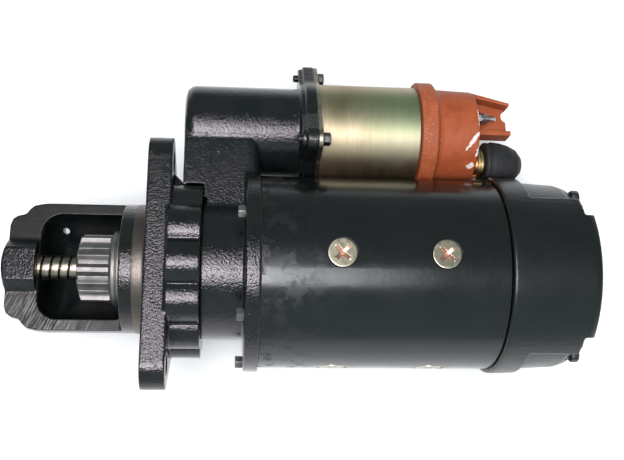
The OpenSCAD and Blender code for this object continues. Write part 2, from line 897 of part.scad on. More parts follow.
module solenoid_case() {
  color("goldenrod")
  at_solenoid()
    difference() {
      revolve([[0, plate_x1], [sol_r, plate_x1], [sol_r, case_x1 - 1], [sol_r - 1, case_x1], [0, case_x1]]);
      rod(plate_x1 - 1, case_x1 + 1, sol_r - 3);
    }
}

module solenoid_bobbin() {
  color("white")
  at_solenoid()
    difference() {
      union() {
        rod(plate_x1, 178, bobbin_r + 1.5);
        rod(plate_x1, plate_x1 + 2, sol_r - 3.2);
        rod(176, 178, sol_r - 3.2);
      }
      rod(plate_x1 - 1, 179, bobbin_r);
    }
}

module solenoid_winding() {
  color("chocolate")
  at_solenoid() tube(plate_x1 + 2, 176, sol_r - 4.5, bobbin_r + 1.5);
}

module solenoid_core() {
  color("gray")
  at_solenoid()
    difference() {
      union() {
        rod(core_face_x, 180, plunger_r);
        rod(178, case_x1 - 1, sol_r - 3);
      }
      rod(core_face_x - 1, core_face_x + 10, 10);
      rod(core_face_x, 190, 3 + run);
      rod(183, 190, 28);
    }
}

module solenoid_bolts() {
  color("black")
  at_solenoid()
    for (i = [0:2])
      around(ear_turn + i * ear_step, ear_at) hex_bolt(plate_x1 + 5.4, plate_x1, 98.5, flange_bolt_head, 2.6);
}

// hood over the terminals: a sloping roof, a back wall and a fin, open towards +X and +Z
module hood() {
  front = scap_x2 - 4;
  floor_x = scap_x2 + 0.5;
  difference() {
    intersection() {
      translate([0, 0, hood_z0]) linear_extrude(height = hood_z1 - hood_z0)
        polygon([[front, -2], [hood_x1 + 1, -2], [hood_x1 + 1, 35], [front, 35]]);
      revolve([[0, front], [33.4, front], [33.2, scap_x2], [hood_end_r, hood_x1], [hood_end_r, hood_x1 + 1],
               [0, hood_x1 + 1]]);
    }
    translate([0, 0, hood_z0 + hood_floor_t]) linear_extrude(height = 40)
      polygon([[floor_x, 1.7], [hood_x1 + 9, 1.7], [hood_x1 + 9, 20], [hood_x1, 21], [floor_x, 27]]);
    translate([hood_x1 + 2.2, 16.5, hood_z0 - 1]) cylinder(h = 40, r = 4.6);
  }
}

module solenoid_cap() {
  color("sienna")
  difference() {
    at_solenoid() {
      revolve([[0, scap_x0], [38.6, scap_x0], [39.2, scap_x0 + 0.8], [39.2, scap_x1 - 1], [38.2, scap_x1],
               [35.4, scap_x1 + 1.5], [34.5, scap_x1 + 4], [33.6, scap_x2 - 1], [32.6, scap_x2], [0, scap_x2]]);
      hood();
    }
    at_solenoid() rod(scap_x0 - 1, 219, 29.2);
    yoke_clearance();
    for (s = [motor_stud, battery_stud]) translate([0, s[0], s[1]]) rod(210, 235, stud_r);
    translate([0, switch_stud[0], switch_stud[1]]) rod(210, 235, 2.5);
  }
}

module moving_contact() {
  color("orangered") at_solenoid() tube(disc_x0, disc_x0 + 2.5, 24.5, 3);
}

module contact_rod() {
  color("gray")
  at_solenoid() {
    rod(plunger_x1 - 12 + plunger_travel - disc_travel + 0.2, disc_x0 + 5, 3);
    rod(disc_x0 + 2.5, disc_x0 + 5, 5);
  }
}

// contact head inside the cap, with a stud through its end wall
module contact_stud(at, tip) {
  translate([0, at[0], at[1]]) {
    rod(disc_x0 + 2.5 + disc_travel + 0.2, 219, contact_r);
    rod(218, nut_x1, stud_r);
    rod(nut_x1 - 1, tip, stud_r - 0.2);
  }
}

module motor_terminal() {
  color("peru")
  difference() {
    contact_stud(motor_stud, 250);
    at_solenoid() rod(180, 214, 6.5);
  }
}

module battery_terminal() {
  color("peru")
  difference() {
    contact_stud(battery_stud, 252);
    at_solenoid() rod(180, 214, 6.5);
  }
}

module switch_terminal() {
  color("silver")
  translate([0, switch_stud[0], switch_stud[1]]) {
    rod(216, 219, 4);
    rod(218, switch_nut_x1, 2.5);
    rod(switch_nut_x1 - 1, 247.4, 2.2);
  }
}

module terminal_nuts() {
  color("silver") {
    for (n = [[motor_stud, washer_x1], [battery_stud, 233.2]])
      translate([0, n[0][0], n[0][1]]) difference() {
        hex(n[1], nut_x1, 15);
        rod(232, nut_x1 + 1, stud_r);
      }
    translate([0, switch_stud[0], switch_stud[1]]) difference() {
      hex(232.6, switch_nut_x1, 8);
      rod(232, switch_nut_x1 + 1, 2.5);
    }
  }
}

module terminal_washers() {
  color("goldenrod") {
    translate([0, motor_stud[0], motor_stud[1]]) tube(231.2, washer_x1, 12, stud_r);
    translate([0, battery_stud[0], battery_stud[1]]) tube(scap_x2, 233.2, 9, stud_r);
    translate([0, switch_stud[0], switch_stud[1]]) tube(scap_x2 + 0.5, 232.6, 5, 2.5);
  }
}

module terminal_boot() {
  color("black")
  translate([0, motor_stud[0], motor_stud[1]])
    difference() {
      revolve([[0, 236.6], [14.8, 236.6], [15.8, 237.6], [15.8, 239.8], [15.2, 240.8], [16.4, 242.6],
               [15.9, 248], [14.2, 255], [11.2, 261], [6.4, 265], [0, 266.4]]);
      rod(236, 240.3, 8.8);
      rod(240, 250.2, stud_r + 0.2);
      translate([0, -motor_stud[0], -motor_stud[1]]) rod(230, 270, cap_front_r + 0.7);
    }
}

module motor_lead() {
  color("orangered")
  difference() {
    union() {
      translate([0, motor_stud[0], motor_stud[1]]) rod(scap_x2, scap_x2 + 2.7, 9);
      translate([scap_x2, 50.5, -5]) cube([2.7, motor_stud[0] - 50.5, 10]);
      translate([coil_x1, 50.5, -5]) cube([scap_x2 - coil_x1 + 1, 2.5, 10]);
    }
    translate([0, motor_stud[0], motor_stud[1]]) rod(scap_x2 - 1, scap_x2 + 4, stud_r);
  }
}

module lead_grommet() {
  color("black")
  difference() {
    translate([yoke_x1 - 9, 56.8, -8]) cube([8.9, 11.6, 16]);
    translate([scap_x2, 50, -5]) cube([2.7, 30, 10]);
  }
}

drive_end_nose();
drive_end_housing();
nose_bush();
nose_screws();
lever_housing();
lever_housing_bolts();
centre_bearing_plate();
centre_bush();
yoke_gasket();
yoke();
pole_shoe(0);  // pole_shoe_1
pole_shoe(90);  // pole_shoe_2
pole_shoe(180);  // pole_shoe_3
pole_shoe(270);  // pole_shoe_4
field_coil(0);  // field_coil_1
field_coil(90);  // field_coil_2
field_coil(180);  // field_coil_3
field_coil(270);  // field_coil_4
pole_screws();
commutator_end_cap();
rear_bush();
cap_bolts();
cap_screws();
brush_plate();
brush_holders();
carbon_brushes();
brush_springs();
armature_shaft();
armature_core();
armature_winding();
commutator();
clutch_shell();
clutch_cover();
clutch_rollers();
clutch_sleeve();
fork_collar();
mesh_spring();
drive_pinion();
shift_lever();
lever_pivot_pin();
plunger();
plunger_rod();
return_spring();
solenoid_flange_plate();
solenoid_case();
solenoid_bobbin();
solenoid_winding();
solenoid_core();
solenoid_bolts();
solenoid_cap();
moving_contact();
contact_rod();
motor_terminal();
battery_terminal();
switch_terminal();
terminal_nuts();
terminal_washers();
terminal_boot();
motor_lead();
lead_grommet();
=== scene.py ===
"""Starter motor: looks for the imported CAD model. Metres, +X along the shaft, +Z up."""
import math

import bmesh
import bpy
from mathutils import Matrix, Vector


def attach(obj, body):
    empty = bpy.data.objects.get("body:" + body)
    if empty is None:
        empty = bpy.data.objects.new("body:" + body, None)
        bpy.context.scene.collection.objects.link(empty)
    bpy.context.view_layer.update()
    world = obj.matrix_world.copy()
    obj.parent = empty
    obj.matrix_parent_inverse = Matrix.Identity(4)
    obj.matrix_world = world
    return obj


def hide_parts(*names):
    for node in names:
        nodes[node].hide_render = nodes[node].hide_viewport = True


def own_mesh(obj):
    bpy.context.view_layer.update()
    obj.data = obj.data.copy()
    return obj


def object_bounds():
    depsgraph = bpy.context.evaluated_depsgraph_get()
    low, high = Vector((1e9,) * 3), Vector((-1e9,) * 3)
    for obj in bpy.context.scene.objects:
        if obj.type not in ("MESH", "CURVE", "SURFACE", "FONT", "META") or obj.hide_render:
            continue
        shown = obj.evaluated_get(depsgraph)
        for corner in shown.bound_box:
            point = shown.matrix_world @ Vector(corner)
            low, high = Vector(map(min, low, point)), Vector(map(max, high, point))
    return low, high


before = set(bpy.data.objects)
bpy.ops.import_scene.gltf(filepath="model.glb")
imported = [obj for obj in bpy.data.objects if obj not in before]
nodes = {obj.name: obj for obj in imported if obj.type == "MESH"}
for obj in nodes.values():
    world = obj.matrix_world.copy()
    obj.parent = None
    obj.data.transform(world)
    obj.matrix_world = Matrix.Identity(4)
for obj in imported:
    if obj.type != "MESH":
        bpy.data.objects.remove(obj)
cad_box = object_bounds()
rad = math.radians
MM = 0.001

# places and sizes as in the CAD model, in mm; X is measured from the mounting face
SOLENOID_Y = 103.0
SOLENOID_AXIS = (SOLENOID_Y, 0.0)
# the flat rim round the window of the nose, and where it ends
RIM_Z, RIM_END_X = 7.0, -16.0
# the pilot ring's turned band, and the radius that it stays inside
PILOT_X, PILOT_BARE_R = (-8.0, -0.4), 45.6
# the shaft in the nose, and the stretch with oil grooves
NOSE_SHAFT_R, GROOVES_X = 8.5, (-75.0, -46.0)
# where the solenoid case's gold turns to the colours painted by angle round its axis (painted highlight and
# painted shade over the chromate tints), and where the terracotta cap's collar ends
CASE_FADE_X, CAP_COLLAR_X = (122.0, 172.0), 199.0
# where the blotches on the yoke fade out
BLOTCH_X = (118.0, 88.0)
# pole screws: distance of the face from the shaft's axis, radius of the head, and the two rows
SCREW_FACE_R, SCREW_HEAD_R, SCREW_X = 66.2, 9.4, (125.7, 192.8)
# the studs, and the terminals' places as (y, z)
STUD_R, SWITCH_STUD_R = 5.0, 2.5
MOTOR, BATTERY, SWITCH = (81.5, 4.0), (115.5, -17.0), (115.1, 9.5)
# return spring at rest
SPRING_X, PLUNGER_STROKE = (133.2, 168.4), 13.4

# ---------------------------------------------------------------- materials


class Graph:
    """A material's node tree, with short calls for the nodes used here. The colour and roughness that
    it starts from are the flat values of the shader; color() and rough() link textures over them."""

    def __init__(self, name, color, rough, metallic=0.0, **constants):
        self.mat = bpy.data.materials.new(name)
        self.mat.use_nodes = True
        self.tree = self.mat.node_tree
        self.bsdf = self.tree.nodes["Principled BSDF"]
        self.coords = self.add("ShaderNodeTexCoord").outputs["Object"]
        self.set(self.bsdf, "Base Color", color)
        self.set(self.bsdf, "Roughness", rough)
        self.set(self.bsdf, "Metallic", metallic)
        for key, value in constants.items():
            self.set(self.bsdf, key.replace("_", " "), value)

    def add(self, kind, **values):
        made = self.tree.nodes.new(kind)
        for key, value in values.items():
            setattr(made, key, value)
        return made

    def set(self, target, socket, value):
        sock = target.inputs[socket]
        if isinstance(value, bpy.types.NodeSocket):
            self.tree.links.new(value, sock)
        elif isinstance(value, (tuple, list)) and len(value) == 3 and len(sock.default_value) == 4:
            sock.default_value = (*value, 1.0)
        else:
            sock.default_value = value

    def scaled(self, factors, source=None):
        made = self.add("ShaderNodeVectorMath", operation="MULTIPLY")
        self.set(made, 0, source or self.coords)
        self.set(made, 1, factors)
        return made.outputs[0]

    def noise(self, scale, detail=3.0, rough=0.55, vector=None):
        """Soft noise with about scale lumps to the metre."""
        made = self.add("ShaderNodeTexNoise")
        self.set(made, "Vector", vector or self.coords)
        self.set(made, "Scale", scale)
        self.set(made, "Detail", detail)
        self.set(made, "Roughness", rough)
        return made.outputs["Fac"]

    def cells(self, scale):
        """Distance to the nearest of many scattered points."""
        made = self.add("ShaderNodeTexVoronoi", feature="F1")
        self.set(made, "Vector", self.coords)
        self.set(made, "Scale", scale)
        return made.outputs["Distance"]

    def ramp(self, value, *stops):
        """stops are (position, value or colour)."""
        made = self.add("ShaderNodeValToRGB")
        ramp = made.color_ramp
        while len(ramp.elements) < len(stops):
            ramp.elements.new(0.5)
        for element, (position, color) in zip(ramp.elements, stops):
            element.position = position
            if not isinstance(color, (tuple, list)):
                color = (color, color, color)
            element.color = (*color, 1.0)
        self.set(made, "Fac", value)
        return made.outputs["Color"]

    def span(self, value, low, high, to_low=0.0, to_high=1.0):
        """Value mapped from low..high to to_low..to_high and held at the ends."""
        made = self.add("ShaderNodeMapRange")
        for key, number in (("Value", value), ("From Min", low), ("From Max", high),
                            ("To Min", to_low), ("To Max", to_high)):
            self.set(made, key, number)
        return made.outputs["Result"]

    def math(self, operation, a, b=0.0):
        made = self.add("ShaderNodeMath", operation=operation)
        self.set(made, 0, a)
        self.set(made, 1, b)
        return made.outputs[0]

    def product(self, first, *others):
        for other in others:
            first = self.math("MULTIPLY", first, other)
        return first

    def mix(self, factor, a, b):
        """Between two colours."""
        made = self.add("ShaderNodeMix", data_type="RGBA")
        self.set(made, 0, factor)
        self.set(made, 6, a)
        self.set(made, 7, b)
        return made.outputs[2]

    def blend(self, factor, a, b):
        """Between two values."""
        made = self.add("ShaderNodeMix", data_type="FLOAT")
        self.set(made, 0, factor)
        self.set(made, 2, a)
        self.set(made, 3, b)
        return made.outputs[0]

    def axes(self, source=None):
        made = self.add("ShaderNodeSeparateXYZ")
        self.set(made, 0, source or self.coords)
        return made.outputs

    def joined(self, a, b):
        """A vector out of two values."""
        made = self.add("ShaderNodeCombineXYZ")
        self.set(made, 0, a)
        self.set(made, 1, b)
        return made.outputs[0]

    def from_solenoid(self):
        """Coordinates measured from the solenoid's axis."""
        made = self.add("ShaderNodeVectorMath", operation="SUBTRACT")
        self.set(made, 0, self.coords)
        self.set(made, 1, (0.0, SOLENOID_Y * MM, 0.0))
        return made.outputs[0]

    def radius(self):
        """Distance from the shaft's axis."""
        _, y, z = self.axes()
        return self.math("SQRT", self.math("ADD", self.product(y, y), self.product(z, z)))

    def edges(self, low, high):
        """1 on convex edges, 0 elsewhere."""
        made = self.add("ShaderNodeNewGeometry")
        return self.span(made.outputs["Pointiness"], low, high)

    def bump(self, *layers):
        """layers are (height, strength, distance in metres)."""
        normal = None
        for height, strength, distance in layers:
            made = self.add("ShaderNodeBump")
            self.set(made, "Height", height)
            self.set(made, "Strength", strength)
            self.set(made, "Distance", distance)
            if normal:
                self.set(made, "Normal", normal)
            normal = made.outputs["Normal"]
        self.set(self.bsdf, "Normal", normal)

    def color(self, value):
        self.set(self.bsdf, "Base Color", value)

    def rough(self, value):
        self.set(self.bsdf, "Roughness", value)

    def metal(self, value):
        self.set(self.bsdf, "Metallic", value)


def black_casting(machined=None):
    """Gloss black paint over a sand casting; machined(g) masks the bare, turned or milled parts."""
    g = Graph("black_casting", (0.006, 0.006, 0.006), 0.2,
              Specular_IOR_Level=0.5, Specular_Tint=(1.0, 0.93, 0.98, 1.0))
    grain = g.noise(820, 2.5, 0.6)
    pebbles = g.cells(700)
    swell = g.noise(300, 2)
    broad = g.noise(60, 3)
    paint = g.mix(g.span(broad, 0.35, 0.7), (0.003, 0.005, 0.005), (0.008, 0.009, 0.009))
    pits = g.span(g.noise(330, 1.5), 0.31, 0.24)
    paint = g.mix(pits, paint, (0.002, 0.002, 0.002))
    worn = g.product(g.edges(0.54, 0.62), g.span(g.noise(240, 3), 0.5, 0.6))
    paint = g.mix(worn, paint, (0.22, 0.19, 0.17))
    rough = g.span(broad, 0.3, 0.7, 0.10, 0.18)
    height = g.math("ADD", grain, g.product(pebbles, -0.5))
    height = g.math("SUBTRACT", height, g.product(pits, 0.5))
    if machined:
        mask, bare, lines = machined(g)
        g.color(g.mix(mask, paint, bare))
        g.rough(g.blend(mask, rough, 0.38))
        g.metal(g.product(mask, 0.9))
        height = g.blend(mask, height, lines)
    else:
        g.color(paint)
        g.rough(rough)
    g.bump((swell, 0.2, 0.0004), (height, 0.6, 0.00032))
    return g.mat


def nose_machined(g):
    """The pilot ring is turned; the window's rim is milled with slanting cuts at one corner."""
    x, y, z = g.axes()
    up = g.axes(g.add("ShaderNodeNewGeometry").outputs["Normal"])[2]
    on_rim = g.span(g.math("ABSOLUTE", g.math("SUBTRACT", z, RIM_Z * MM)), 0.9 * MM, 0.5 * MM)
    rim = g.product(on_rim, g.span(up, 0.94, 0.985),
                    g.span(x, (RIM_END_X + 0.5) * MM, (RIM_END_X - 0.5) * MM))
    ring = g.product(g.span(x, (PILOT_X[0] - 0.2) * MM, (PILOT_X[0] + 0.2) * MM),
                     g.span(x, (PILOT_X[1] + 0.2) * MM, (PILOT_X[1] - 0.2) * MM),
                     g.span(g.radius(), (PILOT_BARE_R + 0.4) * MM, (PILOT_BARE_R - 0.4) * MM))
    slant = g.add("ShaderNodeVectorMath", operation="DOT_PRODUCT")
    g.set(slant, 0, g.coords)
    g.set(slant, 1, (0.90, -0.43, 0.0))
    across = g.noise(1.0, 2.5, 0.6, g.scaled((1000.0, 60.0, 1.0), g.joined(slant.outputs["Value"], y)))
    corner = g.product(g.span(y, -12 * MM, -22 * MM), g.span(x, -28 * MM, -45 * MM))
    cuts = g.product(across, 2.2, corner)
    fine = g.product(g.noise(1300, 3), 0.35)
    turned_lines = g.product(g.noise(1.0, 2, 0.6, g.scaled((2200.0, 12.0, 12.0))), 0.5)
    dark = g.mix(g.noise(190, 4), (0.016, 0.017, 0.017), (0.040, 0.039, 0.038))
    dark = g.mix(g.product(corner, g.span(across, 0.45, 0.62)), dark, (0.10, 0.097, 0.094))
    brown = g.mix(g.noise(60, 4), (0.08, 0.070, 0.063), (0.16, 0.138, 0.122))
    mask = g.math("MAXIMUM", rim, ring)
    return mask, g.mix(ring, dark, brown), g.blend(ring, g.math("ADD", cuts, fine), turned_lines)


def gloss_paint(name, rough, peel, dust):
    """Smooth sprayed black, with orange peel, a blotchy patch, dust and fine scratches."""
    g = Graph(name, (0.003, 0.004, 0.004), rough,
              Specular_IOR_Level=0.5, Specular_Tint=(0.95, 0.985, 1.0, 1.0))
    x = g.axes()[0]
    specks = g.product(g.span(g.cells(1500), 0.09, 0.05), g.span(g.noise(90, 2), 0.5, 0.72))
    scratches = g.span(g.noise(60, 2, 0.5, g.scaled((9, 60, 60))), 0.71, 0.76)
    marks = g.math("MAXIMUM", g.product(specks, dust), g.product(scratches, dust * 0.4))
    base = g.mix(g.noise(28, 3), (0.0025, 0.0035, 0.0035), (0.006, 0.007, 0.007))
    g.color(g.mix(marks, base, (0.14, 0.14, 0.14)))
    blotch = g.product(g.span(g.noise(75, 4, 0.65), 0.5, 0.6),
                       g.span(x, BLOTCH_X[0] * MM, BLOTCH_X[1] * MM))
    even = g.span(g.noise(40, 4), 0.3, 0.7, rough - 0.05, rough + 0.07)
    g.rough(g.blend(blotch, even, rough + 0.34))
    g.bump((g.noise(260, 2), peel, 0.0004), (g.noise(2400, 2), peel * 0.35, 0.0001))
    return g.mat


def yellow_zinc():
    """Yellow chromate on the solenoid case, brushed round the X axis: gold at the front, then colours set
    by the angle round the case's axis that paint light and shade on it, a cream band as painted highlight
    and brown as painted shade beside it, with green and gold chromate tints between.
    """
    g = Graph("zinc_case", (0.5, 0.42, 0.27), 0.34, 1.0)
    centred = g.from_solenoid()
    x, y, z = g.axes(centred)
    wander = g.noise(30, 3, 0.6, g.scaled((1.0, 0.5, 0.5), centred))
    half_turns = g.product(g.math("ARCTAN2", z, y), 1 / math.pi)
    around = g.math("ADD", half_turns, g.span(wander, 0.3, 0.7, -0.07, 0.07))
    # colours by the angle round the case: the cream band is a painted highlight where the lamps reflect,
    # and the brown on either side of it is painted shade
    brown, green, highlight_cream = (0.38, 0.28, 0.18), (0.34, 0.46, 0.25), (0.52, 0.48, 0.34)
    painted_light_by_angle = g.ramp(around, (0.0, brown), (0.2, (0.52, 0.43, 0.33)), (0.34, green), (0.52, (0.44, 0.49, 0.31)),
                 (0.62, highlight_cream), (0.72, highlight_cream), (0.80, brown), (1.0, (0.32, 0.23, 0.16)))
    gold = g.mix(g.span(wander, 0.35, 0.65), (0.30, 0.21, 0.12), (0.55, 0.44, 0.31))
    toned = g.mix(g.span(x, CASE_FADE_X[0] * MM, CASE_FADE_X[1] * MM, 0.25, 0.95), gold, painted_light_by_angle)
    bands = g.noise(1.0, 3, 0.6, g.scaled((260.0, 6.0, 6.0), centred))
    g.color(g.mix(g.span(bands, 0.3, 0.7, 0.0, 0.35), toned, (0.34, 0.28, 0.18)))
    lines = g.noise(1.0, 3, 0.7, g.scaled((2400.0, 40.0, 40.0), centred))
    g.rough(g.span(lines, 0.3, 0.7, 0.41, 0.56))
    g.bump((lines, 0.18, 0.0001))
    return g.mat


def bare_steel(name, color=(0.50, 0.475, 0.45), rough=0.33, lathe_lines=True):
    """Machined steel with stains, and with lathe lines round the X axis."""
    g = Graph(name, color, rough, 1.0)
    dark = tuple(c * 0.62 for c in color)
    stain = g.span(g.noise(120, 4, 0.6), 0.35, 0.7)
    g.color(g.mix(stain, color, dark))
    vector = g.scaled((1.0, 0.03, 0.03)) if lathe_lines else g.coords
    lines = g.noise(1900, 2, 0.6, vector)
    g.rough(g.span(lines, 0.3, 0.7, rough - 0.08, rough + 0.12))
    g.bump((lines, 0.3, 0.00012))
    return g.mat


def shaft_steel():
    """Bright shaft, with painted shade at the bottom of the oil grooves in the nose."""
    g = Graph("shaft_steel", (0.5, 0.45, 0.37), 0.3, 1.0)
    x = g.axes()[0]
    nose = g.product(g.span(x, (GROOVES_X[1] + 0.5) * MM, (GROOVES_X[1] - 1.0) * MM),
                     g.span(x, (GROOVES_X[0] + 0.2) * MM, (GROOVES_X[0] + 1.0) * MM))
    # painted shade: the bottoms of the grooves are painted near black
    hollow_painted_light = g.product(nose, g.span(g.radius(), (NOSE_SHAFT_R - 0.15) * MM, (NOSE_SHAFT_R - 0.5) * MM))
    stain = g.mix(g.span(g.noise(160, 3), 0.4, 0.65), (0.38, 0.335, 0.27), (0.27, 0.235, 0.19))
    g.color(g.mix(hollow_painted_light, stain, (0.03, 0.025, 0.022)))
    lines = g.noise(1.0, 2, 0.6, g.scaled((1900.0, 60.0, 60.0)))
    g.rough(g.span(lines, 0.3, 0.7, 0.28, 0.42))
    g.bump((lines, 0.2, 0.0001))
    return g.mat


def terracotta():
    """Glass-filled red-brown plastic with flecks, pale edges and a few chipped pale streaks."""
    g = Graph("terracotta", (0.40, 0.105, 0.05), 0.5, Specular_IOR_Level=0.28)
    x, y, z = g.axes()
    tone = g.noise(110, 4, 0.6)
    base = g.mix(g.span(tone, 0.3, 0.7), (0.245, 0.050, 0.016), (0.325, 0.076, 0.027))
    specks = g.span(g.cells(900), 0.14, 0.07)
    base = g.mix(g.product(specks, 0.35), base, (0.62, 0.40, 0.30))
    collar = g.span(x, (CAP_COLLAR_X + 1.0) * MM, (CAP_COLLAR_X - 1.0) * MM)
    flecks = g.product(g.span(g.noise(1300, 2), 0.60, 0.68), g.product(collar, 0.4))
    base = g.mix(flecks, base, (0.72, 0.42, 0.30))
    base = g.mix(g.product(g.edges(0.53, 0.58), 0.45), base, (0.66, 0.33, 0.22))
    g.color(g.mix(chipped(g, x, y, z), base, (0.66, 0.57, 0.55)))
    g.rough(g.span(tone, 0.3, 0.7, 0.42, 0.6))
    g.bump((g.noise(900, 3), 0.3, 0.00015))
    return g.mat


def chipped(g, x, y, z):
    """Pale streaks where the end wall meets the cap's side."""
    total = None
    # x, y, length and width in mm, and the slope in degrees
    streaks = ((224.3, 90.5, 8.2, 1.4, 52), (228.4, 104.5, 8.0, 0.8, 96),
               (228.0, 84.0, 5.0, 1.0, 74), (224.0, 75.2, 2.8, 1.6, 12))
    for at_x, at_y, length, width, slope in streaks:
        across = g.math("SUBTRACT", x, at_x * MM)
        along = g.math("SUBTRACT", y, at_y * MM)
        c, s = math.cos(rad(slope)), math.sin(rad(slope))
        u = g.math("ADD", g.product(across, c), g.product(along, s))
        v = g.math("SUBTRACT", g.product(along, c), g.product(across, s))
        u = g.math("POWER", g.product(u, 1 / (length * MM)), 2.0)
        v = g.math("POWER", g.product(v, 1 / (width * MM)), 2.0)
        spot = g.math("ADD", g.math("ADD", u, v), g.span(g.noise(420, 4, 0.7), 0.3, 0.7, -0.8, 0.8))
        spot = g.span(spot, 1.0, 0.75)
        total = spot if total is None else g.math("MAXIMUM", total, spot)
    upper_side = g.span(z, 4 * MM, 8 * MM)
    return g.product(total, upper_side)


def simple(name, color, rough, metallic=0.0, grain=900, spread=0.35):
    """A plain material with colour variation, uneven gloss and a fine surface."""
    g = Graph(name, color, rough, metallic)
    tone = g.noise(130, 4, 0.6)
    darker = tuple(c * (1 - spread) for c in color)
    lighter = tuple(min(1.0, c * (1 + spread)) for c in color)
    g.color(g.mix(g.span(tone, 0.3, 0.7), darker, lighter))
    g.rough(g.span(tone, 0.3, 0.7, max(0.05, rough - 0.07), min(1.0, rough + 0.1)))
    g.bump((g.noise(grain, 3), 0.3, 0.00012))
    return g.mat


def screw_zinc():
    """Aged yellow chromate: grey-green face, with a painted pink reflection in the cross recess."""
    g = Graph("screw_zinc", (0.40, 0.36, 0.28), 0.32, 1.0)
    face = g.mix(g.noise(260, 3), (0.30, 0.26, 0.19), (0.46, 0.44, 0.34))
    face = g.mix(g.edges(0.52, 0.56), face, (0.86, 0.84, 0.72))
    radius = g.radius()
    # painted reflection: the sides and bottom of the cross recess are painted pink
    hollow_painted_light = g.product(g.span(radius, (SCREW_FACE_R - 0.2) * MM, (SCREW_FACE_R - 1.0) * MM),
                     g.span(radius, (SCREW_FACE_R - 6.2) * MM, (SCREW_FACE_R - 5.4) * MM))
    g.color(g.mix(hollow_painted_light, face, (0.78, 0.46, 0.34)))
    g.rough(g.span(g.noise(400, 3), 0.3, 0.7, 0.26, 0.42))
    g.bump((g.noise(1500, 2), 0.25, 0.0001))
    return g.mat


def laminated():
    """Stacked steel sheets along X."""
    g = Graph("laminated_steel", (0.16, 0.16, 0.17), 0.45, 1.0)
    sheet = 0.8 * MM
    sheets = g.math("SINE", g.product(g.axes()[0], 2 * math.pi / sheet))
    g.color(g.mix(g.span(sheets, -0.6, 0.4), (0.05, 0.05, 0.055), (0.24, 0.24, 0.25)))
    g.bump((sheets, 0.4, 0.0001))
    return g.mat


CASTING = black_casting()
NOSE = black_casting(nose_machined)
YOKE = gloss_paint("gloss_black", 0.2, 0.12, 0.6)
CAP = gloss_paint("satin_black", 0.3, 0.3, 0.35)
ZINC_CASE = yellow_zinc()
ZINC_PLATE = simple("zinc_plate", (0.34, 0.31, 0.24), 0.38, 1.0, grain=1200)
ZINC_SCREW = screw_zinc()
STEEL = bare_steel("turned_steel")
TOOTH = bare_steel("tooth_steel", (0.30, 0.288, 0.28), 0.5, lathe_lines=False)
DARK = bare_steel("dark_steel", (0.22, 0.215, 0.21), 0.4)
SHAFT = shaft_steel()
LAMINATED = laminated()
BLACK_BOLT = simple("black_oxide", (0.022, 0.022, 0.024), 0.3, 0.6)
GREY_BOLT = simple("phosphate", (0.16, 0.16, 0.16), 0.4, 0.8)
WHITE_ZINC = simple("clear_zinc", (0.62, 0.61, 0.60), 0.3, 1.0)
COPPER = simple("copper", (0.66, 0.30, 0.17), 0.3, 1.0, grain=1600)
ENAMEL = simple("enamelled_copper", (0.28, 0.075, 0.03), 0.28, 0.2, grain=700)
BRASS = simple("brass", (0.68, 0.50, 0.24), 0.3, 1.0)
BRONZE = simple("sintered_bronze", (0.24, 0.16, 0.09), 0.55, 1.0, grain=2600)
TERRACOTTA = terracotta()
PALE = simple("pale_plastic", (0.62, 0.58, 0.46), 0.5)
RUBBER = simple("rubber", (0.010, 0.010, 0.011), 0.62, grain=1400, spread=0.25)
CARBON = simple("carbon", (0.035, 0.032, 0.030), 0.6, grain=2600)

# ---------------------------------------------------------------- mesh helpers


def add_piece(name, mesh, body, slot_name, material, *replaced):
    """Puts a mesh in the scene in place of the CAD nodes replaced, to ride on a body."""
    made = bpy.data.objects.new(name, mesh)
    bpy.context.scene.collection.objects.link(made)
    made.data.materials.clear()
    made.data.materials.append(material)
    if replaced:
        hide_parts(*replaced)
    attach(made, body)
    return made


def joined_mesh(parts):
    """One mesh out of CAD nodes. Each later node meets the one before at its +X end, and that end is
    moved a little into it, so that the remesh leaves no seam."""
    overlap = 1.5 * MM
    work = bmesh.new()
    for i, node in enumerate(parts):
        before = len(work.verts)
        work.from_mesh(nodes[node].data)
        work.verts.ensure_lookup_table()
        if i:
            shared = max(v.co.x for v in work.verts[before:])
            for v in work.verts[before:]:
                if v.co.x > shared - 1e-6:
                    v.co.x += overlap
    mesh = bpy.data.meshes.new(parts[0] + "_soft")
    work.to_mesh(mesh)
    work.free()
    return mesh


def softened(parts, voxel, body, slot_name, material, smooth=2, relief=None):
    """CAD shapes with the small radii of a casting or moulding: joined, remeshed, relaxed and, for
    a casting, given relief=(amplitude, size) of lumps."""
    node = parts[0]
    made = add_piece(node + "_soft", joined_mesh(parts), body, slot_name, material, *parts)
    weld = made.modifiers.new("weld", "WELD")
    weld.merge_threshold = 1e-6
    remesh = made.modifiers.new("remesh", "REMESH")
    remesh.mode = "VOXEL"
    remesh.voxel_size = voxel * MM
    remesh.use_smooth_shade = True
    relax = made.modifiers.new("relax", "SMOOTH")
    relax.factor = 0.5
    relax.iterations = smooth
    if relief:
        amplitude, size = relief
        lumps = bpy.data.textures.new(node + "_lumps", "CLOUDS")
        lumps.noise_scale = size * MM
        lumps.noise_depth = 2
        push = made.modifiers.new("lumps", "DISPLACE")
        push.texture = lumps
        push.texture_coords = "LOCAL"
        push.strength = amplitude * MM
        push.mid_level = 0.5
    depsgraph = bpy.context.evaluated_depsgraph_get()
    baked = bpy.data.meshes.new_from_object(made.evaluated_get(depsgraph))
    made.modifiers.clear()
    made.data = baked
    baked.polygons.foreach_set("use_smooth", [True] * len(baked.polygons))
    return made


def hexagon(flats, turn=0.0):
    """Radius of a hexagon at each angle."""
    def radius(angle):
        return flats / 2 / math.cos((angle - turn) % (math.pi / 3) - math.pi / 6)
    return radius


